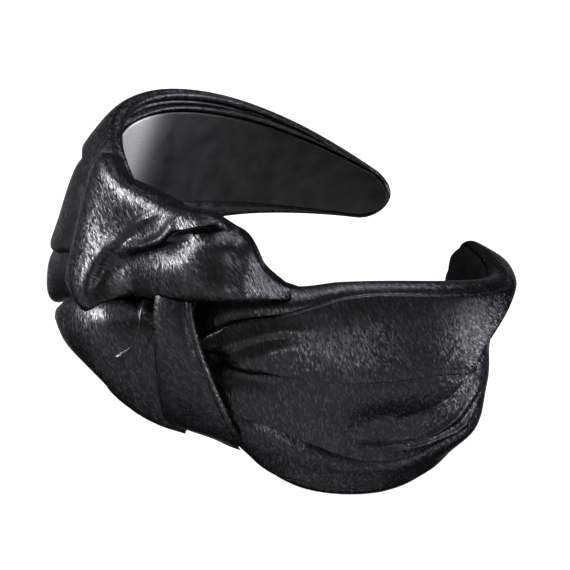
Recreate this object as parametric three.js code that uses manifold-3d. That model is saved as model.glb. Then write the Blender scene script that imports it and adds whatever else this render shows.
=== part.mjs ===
// Top knot headband: a padded satin hair band that lies on its side, open at the tips.
// Millimetres, +Z up. +X runs from the knot to the open end, +Y to the far arm.
// The band is worked out from its inner plan curve: `run` is the distance along that curve from the
// middle of the knot, `out` the distance outwards from it and `height` the distance above its middle.

import * as THREE from 'three';
import Module from 'manifold-3d';

// Driving dimensions.
const PLAN_ARCS = [
  { name: 'crown', radius: 57.5, length: 41 },
  { name: 'side', radius: 71, length: 82 },
  { name: 'tail', radius: 92, length: 41 },
  { name: 'tip', radius: 135, length: 34 },
];
const ARM_LENGTH = { near: 183, far: 202 };   // knot to tip, along the inner curve
const REST_DROP = 38;           // from the band's middle down to the surface it lies on
const PIECE_GAP = 0.35;         // between pieces that touch on the real band
const LINING = { thickness: 1.2, halfWidth: 21, tipHalfWidth: 6.5, taper: 3.2, tipRound: 9, short: 1.5 };
const TIP_ROUND = 9;            // length over which an arm's end rounds off
const END_LEFT = 0.12;          // share of a section that is left at the very end
// Powers of a section's halves (2 is round, more is crisper), and the depth of its inner side as a share of
// the outer one's. A folded edge is crisper than a padded one.
const PADDED_EDGES = { upper: 2.5, lower: 2.5, back: 1 };
const FOLDED_EDGES = { upper: 4.5, lower: 5, back: 0.35 };
const LEAN_POWER = 1.2;         // how evenly the lower edge's lean is shared over a section
const SIDE_SHARE = 1.2;         // how much of its depth the outer side of a section adds to its length
const USUAL_SECTION = { half: 34, deep: 10 };   // a section of usual size, for even spacing round it
const LINE_FADE = 3;            // how fast a crease dies out past the ends of its line
const LAP_SPREAD = { edges: 1.2, more: 0.5 };   // reach of a lap: so many crease edges and a little more

// Arm sections at places along the run: upper and lower edge, padded thickness, and how far the upper and
// lower edge lean to the inside.
const NEAR_SECTIONS = [
  { run: 0.2, top: 17, bottom: -17, thick: 11, leanTop: 2, leanBottom: 1 },
  { run: 14, top: 19, bottom: -17, thick: 14, leanTop: 2.5, leanBottom: 1 },
  { run: 26, top: 21, bottom: -21, thick: 17.5, leanTop: 3, leanBottom: 1 },
  { run: 36, top: 22.8, bottom: -28.5, thick: 19, leanTop: 3.5, leanBottom: 1 },
  { run: 48, top: 27.5, bottom: -36, thick: 20, leanTop: 5, leanBottom: 1 },
  { run: 64, top: 30.8, bottom: -40.8, thick: 21.5, leanTop: 5.5, leanBottom: 1 },
  { run: 82, top: 31.5, bottom: -41, thick: 21.5, leanTop: 5.5, leanBottom: 1 },
  { run: 100, top: 29.6, bottom: -38.5, thick: 20, leanTop: 5, leanBottom: 2 },
  { run: 120, top: 25.5, bottom: -29, thick: 16, leanTop: 4, leanBottom: 6.5 },
  { run: 145, top: 20.5, bottom: -18, thick: 12.5, leanTop: 3, leanBottom: 9 },
  { run: 166, top: 14, bottom: -13, thick: 10.5, leanTop: 2.5, leanBottom: 6 },
  { run: 183, top: 8.5, bottom: -9, thick: 9, leanTop: 2, leanBottom: 1.5 },
];
const FAR_SECTIONS = [
  { run: 0.2, top: 17, bottom: -17, thick: 10, leanTop: 2, leanBottom: 1 },
  { run: 14, top: 20, bottom: -16, thick: 10, leanTop: 2.5, leanBottom: 1 },
  { run: 24, top: 23.5, bottom: -18, thick: 9.5, leanTop: 2.5, leanBottom: 1 },
  { run: 36, top: 26.2, bottom: -26.5, thick: 10.5, leanTop: 2.5, leanBottom: 1 },
  { run: 50, top: 26.8, bottom: -37, thick: 11.5, leanTop: 3, leanBottom: 1 },
  { run: 66, top: 27.4, bottom: -41.5, thick: 12.8, leanTop: 3, leanBottom: 1 },
  { run: 84, top: 27.2, bottom: -40, thick: 13, leanTop: 3, leanBottom: 1 },
  { run: 105, top: 26.3, bottom: -34, thick: 13, leanTop: 3, leanBottom: 1.5 },
  { run: 130, top: 24, bottom: -28.3, thick: 12, leanTop: 3, leanBottom: 1.5 },
  { run: 155, top: 19.5, bottom: -20.8, thick: 11, leanTop: 2.5, leanBottom: 1.5 },
  { run: 178, top: 14.2, bottom: -14.5, thick: 10, leanTop: 2.5, leanBottom: 1.5 },
  { run: 202, top: 7.5, bottom: -8.5, thick: 9, leanTop: 2, leanBottom: 1.5 },
];

// Knot pieces: section centres seen from in front of the knot (right is towards the near arm, out is away
// from the head), the way each section faces, and its half height and half depth.
const UPPER_FOLD = [
  { right: -26, up: -3, out: 3, turn: -60, pitch: 0, slant: 30, half: 9, deep: 4 },
  { right: -23, up: 4, out: 6, turn: -35, pitch: 10, slant: 12, half: 16, deep: 8 },
  { right: -17, up: 12, out: 11, turn: -18, pitch: 14, slant: 0, half: 23.5, deep: 9 },
  { right: -6, up: 17.5, out: 12, turn: 12, pitch: 12, slant: -14, half: 17, deep: 10 },
  { right: 10, up: 23, out: 15, turn: 12, pitch: 14, slant: -6, half: 13.5, deep: 12 },
  { right: 22, up: 29, out: 16, turn: 15, pitch: 15, slant: -10, half: 12, deep: 11 },
  { right: 29, up: 30, out: 12, turn: 25, pitch: 15, slant: -40, half: 10, deep: 9 },
  { right: 34, up: 26, out: 5, turn: 35, pitch: 10, slant: -55, half: 5, deep: 6 },
  { right: 38, up: 23, out: -2, turn: 45, pitch: 0, slant: -50, half: 2, deep: 2 },
];
const LOWER_FOLD = [
  { right: -25.5, up: -22.5, out: 7, turn: -50, pitch: -10, slant: 0, half: 3, deep: 3 },
  { right: -15.5, up: -17.5, out: 11, turn: -30, pitch: -10, slant: 0, half: 8.5, deep: 7 },
  { right: -4, up: -12.5, out: 15, turn: -12, pitch: -10, slant: 0, half: 12.2, deep: 10 },
  { right: 5, up: -10.5, out: 16, turn: 4, pitch: -10, slant: 0, half: 15.8, deep: 10.5 },
  { right: 13, up: -11.2, out: 14, turn: 14, pitch: -10, slant: 0, half: 19.2, deep: 9 },
  { right: 19, up: -11.2, out: 12, turn: 20, pitch: -10, slant: 0, half: 21, deep: 7.5 },
  { right: 23.5, up: -10, out: 9.5, turn: 25, pitch: -10, slant: 0, half: 23.5, deep: 4.5 },
];
const STRAP = [
  { right: 14.5, up: 23, out: 20, turn: 10, pitch: 20, slant: 0, half: 4.5, deep: 2.2 },
  { right: 19.5, up: 13.5, out: 24.5, turn: 16, pitch: 5, slant: 0, half: 5.4, deep: 2.6 },
  { right: 25, up: 4, out: 24.5, turn: 20, pitch: -5, slant: 0, half: 6.8, deep: 3 },
  { right: 29, up: -5, out: 21.5, turn: 26, pitch: -15, slant: 0, half: 8.2, deep: 3 },
  { right: 31.5, up: -13.5, out: 17, turn: 30, pitch: -28, slant: 0, half: 9.7, deep: 3 },
  { right: 33, up: -22, out: 10, turn: 34, pitch: -45, slant: 0, half: 11, deep: 3 },
  { right: 33.5, up: -29, out: -1, turn: 36, pitch: -75, slant: 0, half: 11.5, deep: 2.5 },
];

// Creases are lines drawn on a piece. A point gives the place along the piece (the run on an arm, 0 to 1 on
// a knot piece), the share down its outer side, 0 at the upper edge and 1 at the lower one, and the strength
// there. The cloth on the left of the way the line is drawn laps over the groove on its right. A crease has
// a groove of some depth and width, a lap, and a lip with its height, its reach and its edge.
const NEAR_CREASES = [
  { name: 'gather_line', depth: 2.2, width: 3.2, lap: 0.6, lip: 1.4, reach: 4, edge: 2,
    line: [
      { place: 20, share: 0.42, strength: 0.8 },
      { place: 25, share: 0.27, strength: 1.2 },
      { place: 30, share: 0.17, strength: 1.1 },
      { place: 37, share: 0.11, strength: 0.9 },
      { place: 48, share: 0.07, strength: 0.4 },
      { place: 58, share: 0.06, strength: 0 },
    ] },
  { name: 'upper_panel_edge', depth: 2.6, width: 3.8, lap: 1.2, lip: 0.9, reach: 5, edge: 2,
    line: [
      { place: 20, share: 0.5, strength: 0.8 },
      { place: 27, share: 0.5, strength: 1.5 },
      { place: 36, share: 0.42, strength: 1.1 },
      { place: 48, share: 0.38, strength: 0.7 },
      { place: 66, share: 0.33, strength: 1 },
      { place: 79, share: 0.31, strength: 0.9 },
      { place: 86, share: 0.31, strength: 0.4 },
    ] },
  { name: 'front_sheet_edge', depth: 9, width: 15, lap: 2, lip: 0.8, reach: 6, edge: 3.2,
    line: [
      { place: 72, share: 0.53, strength: 0 },
      { place: 80, share: 0.46, strength: 0.35 },
      { place: 85, share: 0.36, strength: 0.8 },
      { place: 89, share: 0.25, strength: 1 },
      { place: 96, share: 0.17, strength: 1 },
      { place: 106, share: 0.12, strength: 0.9 },
      { place: 117, share: 0.09, strength: 0.6 },
      { place: 132, share: 0.07, strength: 0.2 },
      { place: 145, share: 0.07, strength: 0 },
    ] },
  { name: 'pocket_edge', depth: 4.4, width: 3.2, lap: 2, lip: 1.2, reach: 4, edge: 2,
    line: [
      { place: 24, share: 0.78, strength: 0.5 },
      { place: 40, share: 0.67, strength: 0.9 },
      { place: 51, share: 0.67, strength: 1 },
      { place: 64, share: 0.69, strength: 1.2 },
      { place: 78, share: 0.68, strength: 1 },
      { place: 92, share: 0.63, strength: 0.5 },
      { place: 106, share: 0.6, strength: 0 },
    ] },
  { name: 'bottom_roll', depth: 2, width: 3, lap: 0.4, lip: 1.2, reach: 4, edge: 2,
    line: [
      { place: 44, share: 0.95, strength: 0.2 },
      { place: 53, share: 0.87, strength: 0.9 },
      { place: 73, share: 0.84, strength: 1 },
      { place: 90, share: 0.84, strength: 0.6 },
      { place: 108, share: 0.82, strength: 0 },
    ] },
];
const FAR_CREASES = [
  { name: 'upper_panel_edge', depth: 2.6, width: 3.6, lap: 1.2, lip: 1.2, reach: 6, edge: 2,
    line: [
      { place: 14, share: 0.36, strength: 0.6 },
      { place: 36, share: 0.29, strength: 0.7 },
      { place: 55, share: 0.25, strength: 0.7 },
      { place: 75, share: 0.29, strength: 0.8 },
      { place: 100, share: 0.36, strength: 0.8 },
      { place: 130, share: 0.42, strength: 0.7 },
      { place: 160, share: 0.48, strength: 0 },
    ] },
  { name: 'pocket_edge', depth: 3, width: 3.6, lap: 1.2, lip: 0.8, reach: 5, edge: 2,
    line: [
      { place: 14, share: 0.62, strength: 0.6 },
      { place: 36, share: 0.66, strength: 1 },
      { place: 47, share: 0.69, strength: 1.2 },
      { place: 62, share: 0.7, strength: 1.1 },
      { place: 82, share: 0.7, strength: 0.9 },
      { place: 104, share: 0.66, strength: 0.7 },
      { place: 134, share: 0.62, strength: 0 },
    ] },
];
const UPPER_CREASES = [
  { name: 'panel_edge', depth: 2.4, width: 5.5, lap: 0.3, lip: 0.5, reach: 3, edge: 1.8,
    line: [
      { place: 0.27, share: 0.85, strength: 0.4 },
      { place: 0.28, share: 0.77, strength: 0.9 },
      { place: 0.3, share: 0.68, strength: 1.1 },
      { place: 0.34, share: 0.55, strength: 1 },
      { place: 0.37, share: 0.46, strength: 0.8 },
      { place: 0.4, share: 0.35, strength: 0.5 },
      { place: 0.46, share: 0.17, strength: 0 },
    ] },
  { name: 'finger_valley', depth: 2.2, width: 3.6, lap: 0.3, lip: 1, reach: 3, edge: 2,
    line: [
      { place: 0.34, share: 0.66, strength: 0.3 },
      { place: 0.4, share: 0.58, strength: 0.8 },
      { place: 0.46, share: 0.49, strength: 1 },
      { place: 0.5, share: 0.42, strength: 1 },
      { place: 0.53, share: 0.33, strength: 1 },
      { place: 0.58, share: 0.25, strength: 1 },
      { place: 0.63, share: 0.2, strength: 1 },
      { place: 0.68, share: 0.14, strength: 0.9 },
      { place: 0.72, share: 0.08, strength: 0.6 },
      { place: 0.75, share: 0.03, strength: 0.3 },
    ] },
];
const LOWER_CREASES = [
  { name: 'pocket_edge', depth: 2, width: 4.2, lap: 0.8, lip: 0.8, reach: 3, edge: 1.8,
    line: [
      { place: 0.52, share: 0, strength: 1 },
      { place: 0.55, share: 0.08, strength: 1.2 },
      { place: 0.58, share: 0.2, strength: 1.1 },
      { place: 0.58, share: 0.33, strength: 0.8 },
      { place: 0.56, share: 0.42, strength: 0.3 },
      { place: 0.54, share: 0.48, strength: 0 },
    ] },
];

// Swells and dents: an ellipse on the surface at a place and share, its half length and half width, how far
// it is turned, and how high it stands.
const NEAR_SWELLS = [
  { name: 'pocket', place: 70, share: 0.54, long: 14, wide: 6, turn: -4, height: -2.8 },
  { name: 'lower_sheet', place: 106, share: 0.68, long: 16, wide: 10, turn: 0, height: 3.5 },
  { name: 'side_dent', place: 118, share: 0.33, long: 17, wide: 12, turn: 0, height: -4.8 },
  { name: 'shoulder', place: 122, share: 0.07, long: 14, wide: 5, turn: 0, height: 1.2 },
];
const UPPER_SWELLS = [
  { name: 'lower_panel', place: 0.58, share: 0.7, long: 12, wide: 6, turn: 20, height: 0.8 },
];

// Mesh density: points round the outer and inner side of a section, and sections along a piece.
const ARM_MESH = { outer: 26, inner: 8, along: 38 };
const KNOT_MESH = { outer: 16, inner: 6, along: 18 };
const LINING_MESH = { across: 2, along: 30 };
const END_SHARE = 0.2;          // share of the sections that falls on a rounded end
const PATH_STEPS = 400;         // steps in which a knot piece's path is measured
const LINE_STEPS = 80;          // points that a drawn crease is worked out at
const SECTION_STEPS = 1200;     // steps in which the usual section is measured

const SATIN = { color: 0x26252a, roughness: 0.38, metalness: 0.0 };
const LINING_CLOTH = { color: 0x1b1a1e, roughness: 0.8, metalness: 0.0 };

const { degToRad, clamp, lerp } = THREE.MathUtils;

/** One column of a table at place `p`: a smooth curve through the rows, which are keyed by `key`. */
function column(rows, key, name, p) {
  const last = rows.length - 1;
  let i = rows.findIndex((row) => row[key] > p) - 1;
  if (i === -2) i = last - 1;
  i = clamp(i, 0, last - 1);
  const slope = (k) => {
    const a = rows[Math.max(k - 1, 0)];
    const b = rows[Math.min(k + 1, last)];
    return (b[name] - a[name]) / (b[key] - a[key]);
  };
  const [a, b] = [rows[i], rows[i + 1]];
  const span = b[key] - a[key];
  const t = clamp((p - a[key]) / span, 0, 1);
  const ease = t * t * (3 - 2 * t);
  return a[name] + (b[name] - a[name]) * ease
    + span * t * (1 - t) * ((1 - t) * slope(i) - t * slope(i + 1));
}

/** Point of the inner plan curve and its heading, after `run` along arcs that meet smoothly. */
function plan(run) {
  const place = { x: 0, y: 0, heading: 0 };
  let left = run;
  for (const arc of PLAN_ARCS) {
    const length = arc === PLAN_ARCS[PLAN_ARCS.length - 1] ? left : Math.min(left, arc.length);
    const next = place.heading + length / arc.radius;
    place.x += arc.radius * (Math.cos(place.heading) - Math.cos(next));
    place.y += arc.radius * (Math.sin(next) - Math.sin(place.heading));
    place.heading = next;
    left -= length;
    if (left <= 0) break;
  }
  return place;
}

/** Point of the band at `run`, `out` and `height`, on the far arm (side 1) or the near arm (side -1). */
function bandPoint(run, out, height, side) {
  const at = plan(run);
  const x = at.x - out * Math.cos(at.heading);
  const y = at.y + out * Math.sin(at.heading);
  return new THREE.Vector3(x, side * y, height);
}

/** How much of a section is left at `run` as the end at `end` rounds off over `round`. */
function endRound(run, end, round) {
  const past = clamp((run - (end - round)) / round, 0, 1);
  return Math.sqrt(1 - (1 - END_LEFT ** 2) * past ** 2);
}

/** Unit rounded section: across (1 at the upper edge) and out (1 on the outer side) at an angle. */
function unitSection(angle, edges) {
  const power = 2 / (Math.cos(angle) < 0 ? edges.lower : edges.upper);
  const bend = (v) => Math.sign(v) * Math.abs(v) ** power;
  return { across: bend(Math.cos(angle)), out: bend(Math.sin(angle)) };
}

/** Bell curve exp(-x squared). */
function bell(x) {
  return Math.exp(-x * x);
}

/** Running length along points, from 0 at the first. */
function runningLength(points) {
  const lengths = [0];
  for (let i = 1; i < points.length; i += 1) {
    lengths.push(lengths[i - 1] + points[i].distanceTo(points[i - 1]));
  }
  return lengths;
}

/** Running length down the outer side of a section of usual size. */
function usualLengths(edges) {
  const outline = Array.from({ length: SECTION_STEPS + 1 }, (_, k) => {
    const unit = unitSection((Math.PI * k) / SECTION_STEPS, edges);
    return new THREE.Vector2(USUAL_SECTION.half * unit.across, USUAL_SECTION.deep * unit.out);
  });
  return runningLength(outline);
}

/** Angle of a section at a share of the length of its outer side. */
function angleOfShare(share, lengths) {
  const want = share * lengths[SECTION_STEPS];
  const next = clamp(lengths.findIndex((length) => length >= want), 1, SECTION_STEPS);
  const step = lengths[next] - lengths[next - 1];
  return (Math.PI * (next - 1 + (want - lengths[next - 1]) / step)) / SECTION_STEPS;
}

/**
 * Places round a section with their unit section: shares 0 to 1 go down the outer side, those below 0 and
 * above 1 lie on the inner side, which mirrors it.
 */
function ringOf(mesh, edges) {
  const lengths = usualLengths(edges);
  const half = mesh.inner / 2;
  const above = Array.from({ length: half }, (_, k) => (0.5 * k) / half - 0.5);
  const outer = Array.from({ length: mesh.outer }, (_, k) => k / mesh.outer);
  const below = Array.from({ length: half }, (_, k) => 1 + (0.5 * k) / half);
  return [...above, ...outer, ...below].map((share) => {
    const isOuter = share >= 0 && share <= 1;
    const inside = share < 0 ? -share : 2 - share;
    const unit = unitSection(angleOfShare(isOuter ? share : inside, lengths), edges);
    return { share, across: unit.across, out: isOuter ? unit.out : -unit.out };
  });
}

/** Points, directions and strengths along a crease, in millimetres along and down the surface. */
function drawnLine(crease, chart) {
  const rows = crease.line.map((row, k) => ({ ...row, at: k / (crease.line.length - 1) }));
  const points = Array.from({ length: LINE_STEPS + 1 }, (_, k) => {
    const at = k / LINE_STEPS;
    const place = column(rows, 'at', 'place', at);
    const down = column(rows, 'at', 'share', at) * chart.outerLength(place);
    const strength = Math.max(column(rows, 'at', 'strength', at), 0);
    return { along: chart.along(place), down, strength };
  });
  return points.map((point, k) => {
    const before = points[Math.max(k - 1, 0)];
    const after = points[Math.min(k + 1, LINE_STEPS)];
    const way = new THREE.Vector2(after.along - before.along, after.down - before.down).normalize();
    return { ...point, way };
  });
}

/**
 * Function that tells how far a surface point is moved off the surface, along it and down it. A crease has a
 * lip on the left of its line and a groove on the right, by the signed distance to the line, and its lap
 * slides the lip over the groove. A swell is a bell over an ellipse.
 */
function reliefOf(creases, swells, chart) {
  const lines = creases.map((crease) => ({ crease, points: drawnLine(crease, chart) }));
  return (along, down) => {
    const move = { lift: 0, along: 0, down: 0 };
    for (const { crease, points } of lines) {
      const { depth, width, lap, lip, reach, edge } = crease;
      const distance = (point) => Math.hypot(along - point.along, down - point.down);
      const near = points.reduce((a, b) => (distance(b) < distance(a) ? b : a));
      const off = new THREE.Vector2(along - near.along, down - near.down);
      const gap = near.way.cross(off);
      const force = near.strength * bell(near.way.dot(off) / LINE_FADE);
      const raised = bell(gap / (gap < 0 ? reach : edge));
      const groove = bell((gap - edge) / (gap < edge ? edge : width));
      const share = gap / (LAP_SPREAD.edges * edge + LAP_SPREAD.more);
      const slide = -force * lap * share * Math.exp(0.5 - 0.5 * share * share);
      move.lift += force * (lip * raised - depth * groove);
      move.along -= near.way.y * slide;
      move.down += near.way.x * slide;
    }
    for (const swell of swells) {
      const off = new THREE.Vector2(
        along - chart.along(swell.place),
        down - swell.share * chart.outerLength(swell.place),
      );
      off.rotateAround(new THREE.Vector2(), degToRad(-swell.turn));
      move.lift += swell.height * bell(Math.hypot(off.x / swell.long, off.y / swell.wide));
    }
    return move;
  };
}

/** A ring of a section moved by its relief: points with out, up and the distance moved along the piece. */
function movedRing(ring, base, relief, along, outerLength, left) {
  return ring.map(({ share }, j) => {
    const before = base[(j + base.length - 1) % base.length];
    const after = base[(j + 1) % base.length];
    const tangent = new THREE.Vector2().subVectors(after, before).normalize();
    const move = relief(along, share * outerLength);
    const lift = left * move.lift;
    const down = left * move.down;
    return {
      out: base[j].x - lift * tangent.y + down * tangent.x,
      up: base[j].y + lift * tangent.x + down * tangent.y,
      along: left * move.along,
    };
  });
}

/** Closed body through rings of points, with a fan over each end, its faces pointing out. */
function closedLoft(rings) {
  const count = rings[0].length;
  const points = rings.flat();
  const triangles = [];
  for (let i = 0; i + 1 < rings.length; i += 1) {
    for (let j = 0; j < count; j += 1) {
      const a = i * count + j;
      const b = i * count + ((j + 1) % count);
      triangles.push([a, b, a + count], [b, b + count, a + count]);
    }
  }
  for (const end of [0, rings.length - 1]) {
    const hub = points.length;
    const middle = new THREE.Vector3();
    rings[end].forEach((point) => middle.addScaledVector(point, 1 / count));
    points.push(middle);
    for (let j = 0; j < count; j += 1) {
      const a = end * count + j;
      const b = end * count + ((j + 1) % count);
      triangles.push(end === 0 ? [b, a, hub] : [a, b, hub]);
    }
  }
  const volume = triangles.reduce((sum, [a, b, c]) => {
    const cross = new THREE.Vector3().crossVectors(points[b], points[c]);
    return sum + points[a].dot(cross);
  }, 0);
  const index = triangles.flatMap(([a, b, c]) => (volume > 0 ? [a, b, c] : [a, c, b]));
  const geometry = new THREE.BufferGeometry();
  geometry.setAttribute('position', new THREE.Float32BufferAttribute(points.flatMap((p) => p.toArray()), 3));
  geometry.setIndex(index);
  return geometry;
}

/** Places from `start` to `end`, closer together over the last `round`, where the end rounds off. */
function placesAlong(start, end, round, count) {
  const tail = Math.round(count * END_SHARE);
  const body = count - tail;
  const straight = Array.from({ length: body }, (_, k) => start + ((end - round - start) * k) / body);
  const eased = (k) => Math.sin((Math.PI / 2) * (k / tail));
  const rounded = Array.from({ length: tail + 1 }, (_, k) => end - round + round * eased(k));
  return straight.concat(rounded);
}

/** Padded wrap of one arm: rounded sections along the run, with its relief, flat where it lies. */
function armWrap(sections, creases, swells, side) {
  const start = sections[0].run;
  const end = sections[sections.length - 1].run;
  const size = (name, run) => column(sections, 'run', name, run);
  const halfAt = (run) => (size('top', run) - size('bottom', run)) / 2;
  const outerLength = (run) => 2 * halfAt(run) + (SIDE_SHARE * size('thick', run)) / 2;
  const relief = reliefOf(creases, swells, { along: (run) => run, outerLength });
  const ring = ringOf(ARM_MESH, PADDED_EDGES);
  const rings = placesAlong(start, end, TIP_ROUND, ARM_MESH.along).map((run) => {
    const left = endRound(run, end, TIP_ROUND);
    const half = halfAt(run);
    const middle = size('top', run) - half;
    const deep = size('thick', run) / 2;
    const base = ring.map(({ across, out }) => {
      const under = ((1 - across) / 2) ** LEAN_POWER;
      const lean = size('leanTop', run) * Math.max(across, 0) ** 2 + size('leanBottom', run) * under;
      return new THREE.Vector2(deep + left * (deep * out - lean), left * (middle + half * across));
    });
    return movedRing(ring, base, relief, run, outerLength(run), left).map((point) => bandPoint(
      run + point.along,
      Math.max(point.out, 0),
      Math.max(point.up, -REST_DROP),
      side,
    ));
  });
  return closedLoft(rings);
}

/** Padded knot piece: rounded sections carried along a path that is drawn through the table's centres. */
function knotPiece(table, creases, swells, edges) {
  const rows = table.map((row, k) => ({ ...row, at: k / (table.length - 1) }));
  const size = (name, p) => column(rows, 'at', name, p);
  const centre = (p) => new THREE.Vector3(-size('out', p), -size('right', p), size('up', p));
  const path = Array.from({ length: PATH_STEPS + 1 }, (_, k) => centre(k / PATH_STEPS));
  const lengths = runningLength(path);
  const along = (p) => {
    const step = clamp(Math.floor(p * PATH_STEPS), 0, PATH_STEPS - 1);
    return lerp(lengths[step], lengths[step + 1], p * PATH_STEPS - step);
  };
  const outerLength = (p) => 2 * size('half', p) + SIDE_SHARE * size('deep', p);
  const relief = reliefOf(creases, swells, { along, outerLength });
  const ring = ringOf(KNOT_MESH, edges);
  const rings = Array.from({ length: KNOT_MESH.along + 1 }, (_, k) => {
    const p = k / KNOT_MESH.along;
    const ahead = centre(Math.min(p + 1 / PATH_STEPS, 1));
    const behind = centre(Math.max(p - 1 / PATH_STEPS, 0));
    const way = ahead.sub(behind).normalize();
    const turn = degToRad(size('turn', p));
    const pitch = degToRad(size('pitch', p));
    const slant = degToRad(size('slant', p));
    const level = Math.cos(pitch);
    const out = new THREE.Vector3(-level * Math.cos(turn), -level * Math.sin(turn), Math.sin(pitch));
    way.addScaledVector(out, -out.dot(way)).normalize();
    const up = new THREE.Vector3().crossVectors(out, way).multiplyScalar(Math.cos(slant));
    up.addScaledVector(way, Math.sin(slant));
    const half = size('half', p);
    const deep = size('deep', p);
    const depthAt = (unit) => (unit.out < 0 ? edges.back * deep : deep) * unit.out;
    const base = ring.map((unit) => new THREE.Vector2(depthAt(unit), half * unit.across));
    return movedRing(ring, base, relief, along(p), outerLength(p), 1).map((moved) => {
      const point = centre(p);
      point.addScaledVector(out, moved.out);
      point.addScaledVector(up, moved.up);
      point.addScaledVector(way, moved.along);
      point.z = Math.max(point.z, -REST_DROP);
      return point;
    });
  });
  return closedLoft(rings);
}

/** Lining strip from tip to tip, `grow` larger all round when it cuts its own seat. */
function liningStrip(grow) {
  const halfRings = (length, side) => {
    const end = length - LINING.short;
    return placesAlong(0, end, LINING.tipRound, LINING_MESH.along).map((run) => {
      const share = (run / length) ** LINING.taper;
      const full = LINING.halfWidth + (LINING.tipHalfWidth - LINING.halfWidth) * share;
      const width = full * endRound(run, end, LINING.tipRound) + grow;
      const { across } = LINING_MESH;
      const steps = Array.from({ length: across + 1 }, (_, k) => 1 - (2 * k) / across);
      const back = steps.map((step) => bandPoint(run, LINING.thickness + grow, step * width, side));
      const front = steps.reverse().map((step) => bandPoint(run, -grow, step * width, side));
      return back.concat(front);
    });
  };
  const near = halfRings(ARM_LENGTH.near, -1).slice(1).reverse();
  return closedLoft(near.concat(halfRings(ARM_LENGTH.far, 1)));
}

const wasm = await Module();
wasm.setup();

/** Solid for joining and cutting, from an indexed closed geometry. */
function solidOf(geometry) {
  const vertProperties = new Float32Array(geometry.getAttribute('position').array);
  const triVerts = new Uint32Array(geometry.getIndex().array);
  const mesh = new wasm.Mesh({ numProp: 3, vertProperties, triVerts });
  mesh.merge();
  return new wasm.Manifold(mesh);
}

/** Geometry of a solid's largest body, so that no crumb of a cut stays behind. */
function largestBody(solid) {
  const bodies = solid.decompose();
  const largest = bodies.reduce((a, b) => (b.volume() > a.volume() ? b : a));
  const mesh = largest.getMesh();
  const geometry = new THREE.BufferGeometry();
  geometry.setAttribute('position', new THREE.Float32BufferAttribute(mesh.vertProperties, 3));
  geometry.setIndex(new THREE.Uint32BufferAttribute(mesh.triVerts, 1));
  return geometry;
}

/** The same closed geometry with every point moved out along its normal by `grow`. */
function grown(geometry, grow) {
  const copy = geometry.clone();
  copy.computeVertexNormals();
  const position = copy.getAttribute('position');
  const normal = copy.getAttribute('normal');
  for (let i = 0; i < position.count; i += 1) {
    position.setXYZ(
      i,
      position.getX(i) + grow * normal.getX(i),
      position.getY(i) + grow * normal.getY(i),
      position.getZ(i) + grow * normal.getZ(i),
    );
  }
  return copy;
}

/** A piece with the grown forms of its neighbours cut away, so that it seats on them with a small gap. */
function seated(geometry, neighbours) {
  const room = (other) => solidOf(grown(other, PIECE_GAP));
  const cut = neighbours.reduce((solid, other) => solid.subtract(room(other)), solidOf(geometry));
  return largestBody(cut);
}

const lining = liningStrip(0);
const seat = solidOf(liningStrip(PIECE_GAP));
const nearForm = armWrap(NEAR_SECTIONS, NEAR_CREASES, NEAR_SWELLS, -1);
const farForm = armWrap(FAR_SECTIONS, FAR_CREASES, [], 1);
const upperForm = knotPiece(UPPER_FOLD, UPPER_CREASES, UPPER_SWELLS, FOLDED_EDGES);
const strapForm = knotPiece(STRAP, [], [], PADDED_EDGES);
const lowerForm = knotPiece(LOWER_FOLD, LOWER_CREASES, [], PADDED_EDGES);

const band = [nearForm, farForm, lining];
const nearArm = largestBody(solidOf(nearForm).subtract(seat));
const farArm = largestBody(solidOf(farForm).subtract(seat));
const upperFold = seated(upperForm, band);
const strap = seated(strapForm, [...band, upperForm]);
const lowerFold = seated(lowerForm, [...band, upperForm, strapForm]);

const pieces = [
  ['lining', lining, LINING_CLOTH],
  ['near_arm_wrap', nearArm, SATIN],
  ['far_arm_wrap', farArm, SATIN],
  ['knot_upper_fold', upperFold, SATIN],
  ['knot_lower_fold', lowerFold, SATIN],
  ['knot_strap', strap, SATIN],
];

const headband = new THREE.Group();
headband.name = 'top_knot_headband';
for (const [name, geometry, finish] of pieces) {
  const mesh = new THREE.Mesh(geometry, new THREE.MeshStandardMaterial(finish));
  mesh.name = name;
  headband.add(mesh);
}

// The origin is the middle of the underside of the whole band.
const box = new THREE.Box3().setFromObject(headband);
const middle = box.getCenter(new THREE.Vector3());
headband.position.set(-middle.x, -middle.y, -box.min.z);

export default headband;
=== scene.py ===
"""Top knot headband, dressed: padded satin arms, a folded knot and a cloth lining.

The band is worked out in millimetres from its inner plan curve. `run` is the distance along that curve
from the middle of the knot, `out` the distance outwards from it, `height` the distance above the middle
of the lining. Each soft piece is a rounded section carried along a path, with folds and swells on it.
"""

import bpy
import numpy as np
from mathutils import Matrix, Vector


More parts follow.
